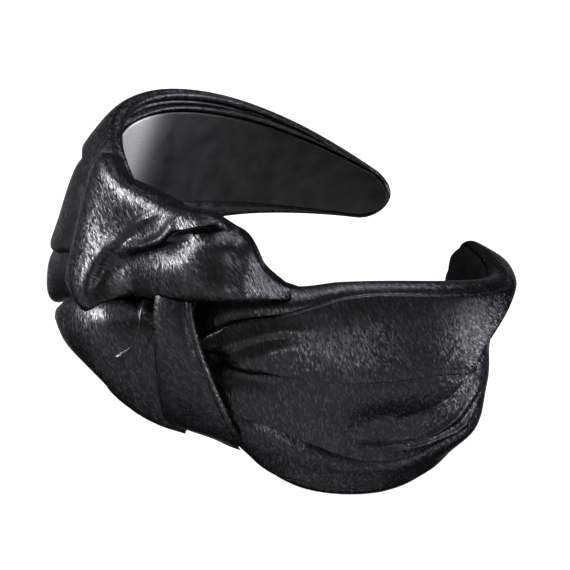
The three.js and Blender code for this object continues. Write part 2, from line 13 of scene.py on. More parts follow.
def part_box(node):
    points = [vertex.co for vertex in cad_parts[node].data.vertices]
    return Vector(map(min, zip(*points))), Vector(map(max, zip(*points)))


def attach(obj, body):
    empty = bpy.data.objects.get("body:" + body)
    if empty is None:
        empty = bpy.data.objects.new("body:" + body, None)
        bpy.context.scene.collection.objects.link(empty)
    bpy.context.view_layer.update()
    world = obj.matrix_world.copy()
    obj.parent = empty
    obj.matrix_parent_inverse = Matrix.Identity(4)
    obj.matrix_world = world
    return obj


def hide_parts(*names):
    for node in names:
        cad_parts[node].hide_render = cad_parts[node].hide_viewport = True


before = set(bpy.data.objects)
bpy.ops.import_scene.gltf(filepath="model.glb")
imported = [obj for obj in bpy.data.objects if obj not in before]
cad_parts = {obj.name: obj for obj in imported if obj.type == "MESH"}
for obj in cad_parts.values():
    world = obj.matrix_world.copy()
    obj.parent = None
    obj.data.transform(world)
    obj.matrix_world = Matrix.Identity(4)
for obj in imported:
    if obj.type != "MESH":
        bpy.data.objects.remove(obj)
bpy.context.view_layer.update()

# Sizes of the band, in millimetres.
PLAN_ARCS = ((57.5, 41.0), (71.0, 82.0), (92.0, 41.0), (135.0, 60.0))   # radius, length
NEAR_LENGTH = 183.0          # knot to tip, along the plan curve
FAR_LENGTH = 202.0
REST_DROP = 37.97            # from the band's middle down to the surface it lies on
ARM_START = 0.2              # the arms keep this far from the knot's middle
TIP_ROUND = 9.0              # length over which an arm's end rounds off
END_LEFT = 0.12              # share of a section that is left at the very end
PADDED_EDGES = (2.5, 2.5)    # powers of a section's upper and lower half: 2 is round, more is crisper
LEAN_POWER = 1.2             # how evenly the lower edge's lean is shared over a section
PIECE_GAP = 0.35             # between a piece and the neighbours that it is cut clear of
FOLDED_EDGES = (4.5, 5.0)    # a folded edge is crisper than a padded one
FOLD_BACK = 0.35             # its inner side's depth, as a share of its outer side's
SIDE_SHARE = 1.2             # how much of its depth a section's outer side adds to its length
USUAL_HALF = 34.0            # a section of usual width and depth, for even spacing round it
USUAL_DEEP = 10.0
LINING = {"thickness": 1.2, "half_width": 21.0, "tip_half_width": 6.5, "taper": 3.2, "tip_round": 9.0,
          "short": 1.5}
SEAT_DEPTH = 1.6       # the wraps stay this far out of the plan curve behind the lining
SEAT_EDGE = 0.7        # and this far beyond the lining's edge
SEAT_RISE = (-0.6, 0.3)    # the seat's step starts and ends this far inside its edge
LEAST_OUT = 0.05       # no cloth lies nearer to the plan curve than this
LINING_ROUND = (0.8, 0.35)    # powers of the lining's ring across and through it

UNITS = 0.001          # metres in a millimetre
CLOTH_UNIT = 100.0     # millimetres of cloth to one unit of the UV map

# Satin: its floats, the slow unevenness under them, and the threads' colours at stops of a ramp.
FLOAT_LONG = 0.9
FLOAT_WIDE = 0.3
FLOAT_RANDOM = 0.85
FLOAT_HEIGHT = 0.0001
SOFT_NOISE = {"Scale": 16.0, "Detail": 3.0, "Roughness": 0.5}
SOFT_STRENGTH = 0.5
SOFT_HEIGHT = 0.00014
SATIN_THREADS = (
    (0.3, (0.019, 0.0186, 0.0202, 1)),
    (0.75, (0.026, 0.0254, 0.0276, 1)),
    (1.0, (0.044, 0.043, 0.0465, 1)),
)
SATIN_ROUGHNESS = 0.35
SATIN_RIM = (0.09, 0.089, 0.093, 1)

# Lining: its grain and patches, its threads, and a sheen painted into its colour round the crown.
GRAIN_NOISE = {"Scale": 160.0, "Detail": 2.0}
GRAIN_STRENGTH = 0.5
GRAIN_HEIGHT = 0.00015
PATCH_NOISE = {"Scale": 14.0, "Detail": 3.0}
LINING_THREADS = ((0.3, (0.014, 0.0138, 0.0148, 1)), (0.7, (0.024, 0.0237, 0.0252, 1)))
LINING_ROUGHNESS = 0.42
LINING_RIM = (0.2, 0.198, 0.205, 1)
PAINTED_SHEEN_FULL_TO = 75.0        # the painted sheen is full up to this far from the middle
PAINTED_SHEEN_GONE_FROM = 115.0    # and gone from here on
PAINTED_SHEEN_FACING = (0.4, 0.7)    # the painted sheen starts, and is full, when the surface is seen this much along it
# colour of the painted sheen that is mixed into the lining's threads
PAINTED_SHEEN_COLOUR = (0.6, 0.587, 0.613, 1)


def table(columns, *rows):
    """A table of sizes: one array for each named column."""
    values = np.array(rows, float)
    return {name: values[:, k] for k, name in enumerate(columns.split())}


LINE_COLUMNS = ("place", "share", "strength")
CREASE_COLUMNS = ("depth", "width", "lap", "lip", "reach", "edge")
SWELL_COLUMNS = ("place", "share", "half_long", "half_wide", "turn", "height")


def crease(name, shape, *line):
    """A crease: its name, the named sizes of its shape and the table of the points on its line."""
    return {"name": name, **dict(zip(CREASE_COLUMNS, shape)), "line": table(" ".join(LINE_COLUMNS), *line)}


def swell(name, *sizes):
    """A swell: its name and the named sizes of its ellipse."""
    return {"name": name, **dict(zip(SWELL_COLUMNS, sizes))}


NEAR_SECTIONS = table(
    "run top bottom thick lean_top lean_bottom",
    (0.2, 17, -17, 11, 2, 1),
    (14, 19, -17, 16, 2.5, 1),
    (26, 21, -21, 20.5, 3, 1),
    (36, 22.8, -28.5, 21.5, 3.5, 1),
    (48, 27.5, -36, 21.5, 5, 1),
    (64, 30.8, -40.8, 21.5, 5.5, 1),
    (82, 31.5, -41, 21.5, 5.5, 1),
    (100, 29.6, -38.5, 20, 5, 2),
    (120, 25.5, -29, 16, 4, 6.5),
    (145, 20.5, -18, 12.5, 3, 9),
    (166, 14, -13, 10.5, 2.5, 6),
    (183, 8.5, -9, 9, 2, 1.5),
)
FAR_SECTIONS = table(
    "run top bottom thick lean_top lean_bottom",
    (0.2, 17, -17, 10, 2, 1),
    (14, 20, -16, 10, 2.5, 1),
    (24, 23.5, -18, 9.5, 2.5, 1),
    (36, 26.2, -26.5, 10.5, 2.5, 1),
    (50, 26.8, -37, 11.5, 3, 1),
    (66, 27.4, -41.5, 12.8, 3, 1),
    (84, 27.2, -40, 13, 3, 1),
    (105, 26.3, -34, 13, 3, 1.5),
    (130, 24, -28.3, 12, 3, 1.5),
    (155, 19.5, -20.8, 11, 2.5, 1.5),
    (178, 14.2, -14.5, 10, 2.5, 1.5),
    (202, 7.5, -8.5, 9, 2, 1.5),
)
UPPER_FOLD = table(
    "right up out turn pitch slant half deep",
    (-26, -3, 3, -60, 0, 30, 9, 4),
    (-23, 4, 6, -35, 10, 12, 16, 8),
    (-17, 12, 11, -18, 14, 0, 23.5, 9),
    (-6, 17.5, 12, 12, 12, -14, 17, 10),
    (10, 23, 15, 12, 14, -6, 13.5, 12),
    (22, 29, 16, 15, 15, -10, 12, 11),
    (29, 30, 12, 25, 15, -40, 10, 9),
    (34, 26, 5, 35, 10, -55, 5, 6),
    (38, 23, -2, 45, 0, -50, 2, 2),
)
LOWER_FOLD = table(
    "right up out turn pitch slant half deep",
    (-25.5, -22.5, 7, -50, -10, 0, 3, 3),
    (-15.5, -17.5, 11, -30, -10, 0, 8.5, 7),
    (-4, -12.5, 15, -12, -10, 0, 12.2, 10),
    (5, -10.5, 16, 4, -10, 0, 15.8, 10.5),
    (13, -11.2, 14, 14, -10, 0, 19.2, 9),
    (19, -11.2, 12, 20, -10, 0, 21, 7.5),
    (23.5, -10, 9.5, 25, -10, 0, 23.5, 4.5),
)
STRAP = table(
    "right up out turn pitch slant half deep",
    (14.5, 23, 20, 10, 20, 0, 4.5, 2.2),
    (19.5, 13.5, 24.5, 16, 5, 0, 5.4, 2.6),
    (25, 4, 24.5, 20, -5, 0, 6.8, 3),
    (29, -5, 21.5, 26, -15, 0, 8.2, 3),
    (31.5, -13.5, 17, 30, -28, 0, 9.7, 3),
    (33, -22, 10, 34, -45, 0, 11, 3),
    (33.5, -29, -1, 36, -75, 0, 11.5, 2.5),
)

# Creases are lines drawn on a piece. Each point gives the place along it, the share down its outer side (0 at
# the upper edge, 1 at the lower one, below 0 round on the inner side) and the crease's strength there. The
# cloth on the left of the way the line is drawn laps over the groove on its right. A crease's shape is its
# groove's depth and width, its lap, and its lip's height, reach and edge, in millimetres.
# Swells and dents are ellipses at a place and share, with their half sizes, their turn and their height.
NEAR_CREASES = (
    crease("roll_line", (1.1, 1.6, 0.5, 0.6, 2.4, 0.7),
           (183, -0.15, 0.5), (165, -0.12, 0.6), (145, -0.08, 0.8), (128, -0.03, 0.8), (115, 0.03, 0.8),
           (100, 0.05, 0.8), (70, 0.05, 0.7), (55, 0.05, 0.8), (45, 0.07, 1.0), (37, 0.11, 1.2),
           (30, 0.17, 1.1), (25, 0.25, 1.1), (22, 0.35, 0.9), (20, 0.42, 0.8)),
    crease("gather_line", (1.3, 2.6, 0.2, 0.8, 2.6, 1.7),
           (20, 0.55, 1.0), (23, 0.48, 1.2), (26, 0.38, 1.1), (29, 0.3, 1.0), (32, 0.24, 0.9),
           (36, 0.2, 0.6), (42, 0.19, 0.0)),
    crease("gather_valley", (2.0, 4.5, 0.2, 0.5, 4.0, 2.8),
           (20, 0.5, 0.8), (25, 0.5, 1.2), (30, 0.47, 1.2), (35, 0.42, 0.9), (42, 0.39, 0.4),
           (50, 0.38, 0.0)),
    crease("upper_panel_edge", (0.9, 2.6, 1.3, 1.5, 9.0, 0.6),
           (34, 0.43, 0.0), (40, 0.4, 0.4), (48, 0.38, 0.7), (58, 0.35, 0.9), (66, 0.33, 1.0),
           (76, 0.31, 1.1), (83, 0.31, 0.9), (87, 0.3, 0.4)),
    crease("front_sheet_edge", (8.0, 14.0, 2.4, 1.2, 6.0, 1.5),
           (70, 0.53, 0.0), (78, 0.48, 0.2), (82, 0.43, 0.5), (85, 0.36, 0.8), (88, 0.26, 1.0),
           (92, 0.21, 1.0), (98, 0.16, 1.0), (106, 0.12, 0.9), (117, 0.09, 0.6), (132, 0.07, 0.2),
           (145, 0.07, 0.0)),
    crease("pocket_line", (0.3, 2.0, 0.2, 0.9, 1.8, 0.8),
           (98, 0.47, 0.3), (91, 0.54, 0.8), (83, 0.6, 1.1), (75, 0.62, 1.1), (66, 0.63, 1.0),
           (57, 0.64, 0.0)),
    crease("second_line", (0.6, 1.4, 0.3, 0.6, 1.2, 0.6),
           (101, 0.5, 0.2), (94, 0.58, 0.7), (87, 0.61, 1.0), (80, 0.63, 1.0), (73, 0.64, 0.6),
           (68, 0.65, 0.0)),
    crease("pocket_edge", (3.6, 2.4, 1.0, 1.2, 4.0, 0.7),
           (24, 0.78, 0.5), (29, 0.74, 0.8), (34, 0.71, 0.9), (40, 0.67, 0.9), (51, 0.67, 1.0),
           (58, 0.68, 1.2), (67, 0.69, 1.3), (78, 0.68, 1.1), (86, 0.65, 0.7), (96, 0.61, 0.4),
           (106, 0.6, 0.0)),
    crease("bottom_roll", (2.4, 2.0, 0.9, 1.2, 3.0, 0.7),
           (44, 0.95, 0.2), (49, 0.91, 0.6), (53, 0.87, 0.9), (62, 0.85, 1.0), (73, 0.84, 1.0),
           (84, 0.84, 0.8), (95, 0.83, 0.5), (108, 0.82, 0.0)),
)
NEAR_SWELLS = (
    swell("pillow", 31.0, 0.36, 9.0, 4.2, -50, 2.2),
    swell("gather_hole", 24.0, 0.5, 2.6, 2.2, 0, -1.2),
    swell("pocket", 70.0, 0.53, 14.0, 7.5, -4, -3.0),
    swell("pocket_end", 57.0, 0.585, 6.0, 2.6, 75, 0.9),
    swell("lower_sheet", 106.0, 0.68, 16.0, 10.0, 0, 3.5),
    swell("side_dent", 118.0, 0.33, 17.0, 12.0, 0, -4.8),
    swell("shoulder", 122.0, 0.07, 14.0, 5.0, 0, 1.2),
)
FAR_CREASES = (
    crease("upper_panel_edge", (2.6, 3.4, 1.6, 1.2, 6.0, 1.0),
           (14, 0.36, 0.2), (36, 0.29, 0.2), (55, 0.25, 0.4), (75, 0.29, 0.8), (100, 0.36, 0.8),
           (130, 0.42, 0.7), (160, 0.48, 0.0)),
    crease("pocket_edge", (3.0, 3.6, 1.6, 0.8, 5.0, 1.0),
           (14, 0.62, 0.2), (36, 0.66, 0.35), (47, 0.69, 0.5), (62, 0.7, 0.8), (82, 0.7, 0.9),
           (104, 0.66, 0.7), (134, 0.62, 0.0)),
    crease("piping_line", (4.0, 2.2, 0.4, 0.9, 2.2, 1.0),
           (30, -0.14, 0.8), (50, -0.135, 1.0), (66, -0.13, 1.0), (86, -0.12, 1.0), (115, -0.12, 1.0),
           (133, -0.115, 1.0), (151, -0.1, 0.9), (172, -0.09, 0.8), (192, -0.08, 0.4), (200, -0.07, 0.0)),
)
UPPER_CREASES = (
    crease("panel_edge", (2.6, 5.0, 0.8, 0.5, 2.5, 1.4),
           (0.27, 0.85, 0.4), (0.28, 0.77, 0.9), (0.3, 0.68, 1.1), (0.32, 0.6, 1.1), (0.34, 0.55, 1.0),
           (0.37, 0.46, 0.8), (0.4, 0.35, 0.5), (0.43, 0.25, 0.2), (0.46, 0.17, 0.0)),
    crease("small_ridge", (0.0, 1.0, 0.2, 0.9, 0.9, 0.9),
           (0.37, 0.5, 0.4), (0.4, 0.4, 1.0), (0.43, 0.3, 1.1), (0.46, 0.22, 0.4)),
    crease("finger", (0.0, 1.0, 0.3, 2.0, 2.0, 2.0),
           (0.32, 0.65, 0.4), (0.38, 0.55, 0.9), (0.44, 0.46, 1.1), (0.49, 0.36, 1.1), (0.52, 0.26, 0.7)),
    crease("finger_valley", (2.4, 3.6, 0.5, 0.4, 3.0, 1.6),
           (0.34, 0.66, 0.3), (0.4, 0.58, 0.8), (0.46, 0.49, 1.0), (0.5, 0.43, 1.0), (0.55, 0.36, 0.5)),
    crease("upper_cloth", (2.4, 4.0, 1.0, 0.8, 2.4, 0.8),
           (0.48, 0.45, 0.0), (0.53, 0.3, 0.6), (0.58, 0.25, 1.0), (0.63, 0.2, 1.1), (0.68, 0.14, 1.0),
           (0.72, 0.08, 0.7), (0.75, 0.03, 0.3)),
)
UPPER_SWELLS = (
    swell("bright_fold", 0.71, 0.32, 7.0, 3.5, -35, 0.8),
    swell("lower_panel", 0.58, 0.7, 12.0, 6.0, 20, 0.8),
)
LOWER_CREASES = (
    crease("pocket_edge", (2.0, 4.2, 1.0, 0.8, 3.0, 0.5),
           (0.52, 0.0, 1.0), (0.54, 0.06, 1.2), (0.57, 0.15, 1.2), (0.58, 0.24, 1.1), (0.58, 0.33, 0.8),
           (0.56, 0.42, 0.4), (0.54, 0.48, 0.0)),
)
LOWER_SWELLS = (
    swell("corner", 0.3, 0.5, 8.0, 6.0, 0, 0.8),
)
STRAP_CREASES = (
    crease("right_edge", (0.5, 1.6, 0.2, 0.35, 1.0, 0.6),
           (0.08, 0.1, 1.0), (0.3, 0.09, 1.0), (0.6, 0.08, 1.0), (0.85, 0.08, 0.8)),
)
LINE_STEPS = 140       # points that a drawn line is worked out at
LINE_ROOM = 26.0       # a line moves nothing further off than this along the piece
LINE_FADE = 3.0        # how fast a crease dies out past the ends of its line
LAP_EDGES = 1.2        # a lap reaches over so many of its crease's edges
LAP_MORE = 0.5         # and this much more

# Grids: points on the outer and inner side of a section, and sections along the piece.
ARM_GRID = {"outer": 190, "inner": 52, "along": 340}
KNOT_GRID = {"outer": 190, "inner": 40, "along": 190}
LINING_GRID = {"across": 48, "along": 300}
SECTION_STEPS = 20001  # fine steps round a section, for even spacing
TIP_PLACES = 8         # one place in so many lies where an end rounds off
TINY = 1e-9            # keeps a division from zero

# Each piece: the CAD node that it stands for, the turn of its weave and the pieces that it is cut clear of.
REPLACED = {
    "near_arm": "near_arm_wrap",
    "far_arm": "far_arm_wrap",
    "upper_fold": "knot_upper_fold",
    "lower_fold": "knot_lower_fold",
    "strap": "knot_strap",
    "band_lining": "lining",
}
WEAVE_TURN = {
    "near_arm": -60,
    "far_arm": 60,
    "upper_fold": -60,
    "lower_fold": -60,
    "strap": 40,
    "band_lining": 0,
}
NEIGHBOURS = {
    "upper_fold": ("near_arm", "far_arm", "band_lining"),
    "strap": ("near_arm", "far_arm", "band_lining", "upper_fold"),
    "lower_fold": ("near_arm", "far_arm", "band_lining", "upper_fold", "strap"),
    "near_arm": ("band_lining",),
    "far_arm": ("band_lining",),
}
ROOMS = ("near_arm", "far_arm", "band_lining", "upper_fold", "strap")


def smooth_through(keys, values, at):
    """Curve through table rows: on each span a cubic whose end slopes follow the chord over the
    neighbours."""
    keys = np.asarray(keys, float)
    values = np.asarray(values, float)
    order = np.arange(len(keys))
    before = np.maximum(order - 1, 0)
    after = np.minimum(order + 1, len(keys) - 1)
    slope = (values[after] - values[before]) / (keys[after] - keys[before])
    i = np.clip(np.searchsorted(keys, at, side="right") - 1, 0, len(keys) - 2)
    span = keys[i + 1] - keys[i]
    t = np.clip((at - keys[i]) / span, 0, 1)
    ease = t * t * (3 - 2 * t)
    bow = span * t * (1 - t) * ((1 - t) * slope[i] - t * slope[i + 1])
    return values[i] + (values[i + 1] - values[i]) * ease + bow


def rise(at, start, end):
    """Smooth step from 0 at start to 1 at end."""
    t = np.clip((at - start) / (end - start), 0, 1)
    return t * t * (3 - 2 * t)


def bell(x):
    """Bell curve exp(-x squared)."""
    return np.exp(-x * x)


def plan_curve(run):
    """Inner plan curve: arcs laid end to end; each adds radius times the change of cosine and sine of
    heading."""
    x = np.zeros_like(run)
    y = np.zeros_like(run)
    heading = np.zeros_like(run)
    start = 0.0
    turned = 0.0
    for radius, length in PLAN_ARCS:
        turn = np.clip(run - start, 0, length) / radius
        x = x + radius * (np.cos(turned) - np.cos(turned + turn))
        y = y + radius * (np.sin(turned + turn) - np.sin(turned))
        heading = heading + turn
        start += length
        turned += length / radius
    return x, y, heading


def band_point(run, out, height, side):
    """Point of the band: the plan curve at run, moved outwards by out and up by height; side mirrors it."""
    x, y, heading = plan_curve(run)
    across = x - out * np.cos(heading)
    along = side * (y + out * np.sin(heading))
    return np.stack(np.broadcast_arrays(across, along, height), axis=-1)


def unit_section(angle, edges):
    """Rounded section |across|^p + |out|^p = 1 at an angle that runs from the upper to the lower edge;
    the powers of its two halves say how crisp the edges are."""
    c, s = np.cos(angle), np.sin(angle)
    power = 2.0 / np.where(c < 0, edges[1], edges[0])
    return np.sign(c) * np.abs(c) ** power, np.sign(s) * np.abs(s) ** power


def section_angles(share, edges):
    """Angle at a share of the section's outer length: the length is summed over fine steps and read
    backwards."""
    angle = np.linspace(0, np.pi, SECTION_STEPS)
    across, out = unit_section(angle, edges)
    step = np.hypot(USUAL_HALF * np.diff(across), USUAL_DEEP * np.diff(out))
    length = np.concatenate([[0.0], np.cumsum(step)])
    return np.interp(share, length / length[-1], angle)


def ring_shares(grid):
    """Places round a section: 0 to 1 down the outer side; below 0 and above 1 on the inner side, from
    its middle."""
    half = grid["inner"] // 2
    up = np.arange(half) / half * 0.5 - 0.5
    outer = np.arange(grid["outer"]) / grid["outer"]
    down = 1.0 + np.arange(half) / half * 0.5
    return np.concatenate([up, outer, down])


def ring_section(share, edges=PADDED_EDGES):
    """Across and out of the unit section at ring places: the outer half, and the inner half mirrored
    from it."""
    outer = (share >= 0) & (share <= 1)
    inside = np.where(share < 0, -share, 2 - share)
    angle = section_angles(np.where(outer, share, inside), edges)
    across, out = unit_section(angle, edges)
    return across, np.where(outer, out, -out)


def drawn_line(line, places, along, length):
    """Smooth line through the points of a crease, in millimetres along and down the surface, with its
    direction and strength at each step."""
    keys = np.linspace(0, 1, len(line["place"]))
    step = np.linspace(0, 1, LINE_STEPS)
    place, share, strength = (smooth_through(keys, line[name], step) for name in LINE_COLUMNS)
    x = np.interp(place, places, along)
    y = share * np.interp(place, places, length)
    dx, dy = np.gradient(x), np.gradient(y)
    size = np.hypot(dx, dy)
    return x, y, dx / size, dy / size, np.maximum(strength, 0)


def surface_relief(creases, swells, places, along, length, share):
    """Relief of a piece. For each crease the signed distance to its line gives a lip on one side, which
    rises over its reach and drops over its edge, and a groove on the other, a bell of its depth and
    width; the lap slides the lip over the groove. Each swell adds a bell over an ellipse. Returns how
    far each point moves off the surface, along it and down it."""
    down = share * length[:, None]
    lift = np.zeros(down.shape)
    slide_along = np.zeros(down.shape)
    slide_down = np.zeros(down.shape)
    for fold in creases:
        depth, width, lap, lip, reach, edge = (fold[name] for name in CREASE_COLUMNS)
        x, y, tx, ty, strength = drawn_line(fold["line"], places, along, length)
        rows = (along > x.min() - LINE_ROOM) & (along < x.max() + LINE_ROOM)
        dx = along[rows, None, None] - x
        dy = down[rows, :, None] - y
        nearest = np.argmin(dx * dx + dy * dy, axis=-1)
        dx = along[rows, None] - x[nearest]
        dy = down[rows] - y[nearest]
        gap = tx[nearest] * dy - ty[nearest] * dx
        past = tx[nearest] * dx + ty[nearest] * dy
        force = strength[nearest] * bell(past / LINE_FADE)
        lips = np.where(gap < 0, bell(gap / reach), bell(gap / edge))
        groove = np.where(gap < edge, bell((gap - edge) / edge), bell((gap - edge) / width))
        spread = LAP_EDGES * edge + LAP_MORE
        slide = -force * lap * (gap / spread) * np.exp(0.5 - 0.5 * (gap / spread) ** 2)
        lift[rows] += force * (lip * lips - depth * groove)
        slide_along[rows] -= ty[nearest] * slide
        slide_down[rows] += tx[nearest] * slide
    for dome in swells:
        place, part, half_long, half_wide, turn, height = (dome[name] for name in SWELL_COLUMNS)
        dx = (along - np.interp(place, places, along))[:, None]
        dy = down - part * np.interp(place, places, length)
        c, s = np.cos(np.radians(turn)), np.sin(np.radians(turn))
        lift += height * bell(np.hypot((c * dx + s * dy) / half_long, (c * dy - s * dx) / half_wide))
    return lift, slide_along, slide_down


def end_round(run, end, length):
    """Share of a section left as an end rounds off: a quarter ellipse over the given length."""
    past = np.clip((run - (end - length)) / length, 0, 1)
    return np.sqrt(1 - (1 - END_LEFT ** 2) * past ** 2)


def places_along(start, end, length, count):
    """Places along a piece, closer together over the last length, where its end rounds off."""
    tail = count // TIP_PLACES
    body = np.linspace(start, end - length, count - tail, endpoint=False)
    rounded = end - length + length * np.sin(np.linspace(0, np.pi / 2, tail + 1))
    return np.concatenate([body, rounded])


def section_normals(across, up):
    """Outward normals and downward tangents of closed sections, from the difference of the neighbouring
    points."""
    d_out = np.roll(across, -1, 1) - np.roll(across, 1, 1)
    d_up = np.roll(up, -1, 1) - np.roll(up, 1, 1)
    size = np.maximum(np.hypot(d_out, d_up), TINY)
    return (-d_up / size, d_out / size), (d_out / size, d_up / size)


def lining_half_width(run, length):
    """Half width of the lining: it narrows with a power of the share of the run and rounds off at the
    tip."""
    end = length - LINING["short"]
    share = np.clip(run / length, 0, 1) ** LINING["taper"]
    full = LINING["half_width"] + (LINING["tip_half_width"] - LINING["half_width"]) * share
    return full * end_round(run, end, LINING["tip_round"])


def arm_surface(sections, creases, swells, length, side):
    """Padded arm: rounded sections between the upper and lower edge, leaning inwards towards both
    edges, moved off their surface by the creases and swells, pressed flat where the arm lies and
    hollowed for the lining."""
    run = places_along(ARM_START, length, TIP_ROUND, ARM_GRID["along"])[:, None]
    share = ring_shares(ARM_GRID)[None, :]
    across, out = ring_section(share)
    size = {name: smooth_through(sections["run"], values, run) for name, values in sections.items()}
    left = end_round(run, length, TIP_ROUND)
    middle = (size["top"] + size["bottom"]) / 2
    half = (size["top"] - size["bottom"]) / 2
    deep = size["thick"] / 2
    down = (1 - across) / 2
    lean = size["lean_top"] * np.maximum(across, 0) ** 2 + size["lean_bottom"] * down ** LEAN_POWER
    base_out = deep + left * (deep * out - lean)
    base_up = left * (middle + half * across)
    normal, tangent = section_normals(base_out, base_up)
    outer_length = (2 * half + SIDE_SHARE * deep)[:, 0]
    places = run[:, 0]
    relief = surface_relief(creases, swells, places, places, outer_length, share)
    lift, slide_along, slide_down = (left * part for part in relief)
    out_mm = np.maximum(base_out + lift * normal[0] + slide_down * tangent[0], LEAST_OUT)
    up_mm = np.maximum(base_up + lift * normal[1] + slide_down * tangent[1], -REST_DROP)
    seat = lining_half_width(run, length) + SEAT_EDGE
    behind = rise(seat - np.abs(up_mm), *SEAT_RISE) * (run < length - LINING["short"] + SEAT_EDGE)
    out_mm = np.maximum(out_mm, SEAT_DEPTH * behind)
    return band_point(run + slide_along, out_mm, up_mm, side), run


def knot_surface(sizes, creases, swells, edges=PADDED_EDGES, back=1.0, grid=KNOT_GRID):
    """Padded fold of the knot: rounded sections carried along a path through the table's centres. Turn
    and pitch say which way a section's outer side faces; it stands across the path, askew to it by the
    slant."""
    p = np.linspace(0, 1, grid["along"] + 1)
    keys = np.linspace(0, 1, len(sizes["right"]))
    at = {name: smooth_through(keys, values, p) for name, values in sizes.items()}
    centre = np.stack([-at["out"], -at["right"], at["up"]], axis=-1)
    path = np.gradient(centre, axis=0)
    path = path / np.linalg.norm(path, axis=-1, keepdims=True)
    turn, pitch, slant = (np.radians(at[name])[:, None] for name in ("turn", "pitch", "slant"))
    face = np.hstack([-np.cos(pitch) * np.cos(turn), -np.cos(pitch) * np.sin(turn), np.sin(pitch)])
    path = path - face * np.sum(face * path, axis=-1, keepdims=True)
    path = path / np.linalg.norm(path, axis=-1, keepdims=True)
    upward = np.cos(slant) * np.cross(face, path) + np.sin(slant) * path
    share = ring_shares(grid)[None, :]
    across, out = ring_section(share, edges)
    half, deep = at["half"][:, None], at["deep"][:, None]
    base_out = deep * np.where(out < 0, back * out, out)
    base_up = half * across
    normal, tangent = section_normals(base_out, base_up)
    step = np.linalg.norm(np.diff(centre, axis=0), axis=-1)
    along = np.concatenate([[0.0], np.cumsum(step)])
    outer_length = (2 * half + SIDE_SHARE * deep)[:, 0]
    lift, slide_along, slide_down = surface_relief(creases, swells, p, along, outer_length, share)
    out_mm = base_out + lift * normal[0] + slide_down * tangent[0]
    up_mm = base_up + lift * normal[1] + slide_down * tangent[1]
    points = centre[:, None] + out_mm[..., None] * face[:, None] + up_mm[..., None] * upward[:, None]
    points = points + slide_along[..., None] * path[:, None]
    points[..., 2] = np.maximum(points[..., 2], -REST_DROP)
    return points, along[:, None]


def lining_surface():
    """Lining strip: for each place from tip to tip a flat ring of the strip's width, its edges rounded
    by a sine of the place round the ring, lying on the plan curve with its thickness outwards."""
    near = places_along(0.0, NEAR_LENGTH - LINING["short"], LINING["tip_round"], LINING_GRID["along"] // 2)
    far = places_along(0.0, FAR_LENGTH - LINING["short"], LINING["tip_round"], LINING_GRID["along"] // 2)
    run = np.concatenate([-near[:0:-1], far])[:, None]
    length = np.where(run < 0, NEAR_LENGTH, FAR_LENGTH)
    width = lining_half_width(np.abs(run), length)
    turn = np.linspace(0, 2 * np.pi, 2 * LINING_GRID["across"], endpoint=False)[None, :]
    across = np.sign(np.cos(turn)) * np.abs(np.cos(turn)) ** LINING_ROUND[0]
    thick = np.sign(np.sin(turn)) * np.abs(np.sin(turn)) ** LINING_ROUND[1]
    out = LINING["thickness"] / 2 * (1 + thick)
    points = band_point(np.abs(run), out, width * across, np.sign(run + TINY))
    return points, run


lining_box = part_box("lining")
BAND_PLACE = np.array([
    lining_box[0].x / UNITS + LINING["thickness"],
    (lining_box[0].y + lining_box[1].y) / 2 / UNITS,
    (lining_box[0].z + lining_box[1].z) / 2 / UNITS,
])


def cloth_map(points, along, weave_turn):
    """UV map of a tube in cloth lengths: along the piece and round each section, turned by the weave's
    angle."""
    closed = np.concatenate([points, points[:, :1]], axis=1)
    step = np.linalg.norm(np.diff(closed, axis=1), axis=-1)
    round_mm = np.concatenate([np.zeros_like(step[:, :1]), np.cumsum(step, axis=1)], axis=1)
    round_mm = round_mm - round_mm[:, -1:] / 2
    along_mm = np.broadcast_to(along, round_mm.shape)
    c, s = np.cos(np.radians(weave_turn)), np.sin(np.radians(weave_turn))
    u = c * along_mm - s * round_mm
    v = s * along_mm + c * round_mm
    return np.stack([u, v], axis=-1) / CLOTH_UNIT


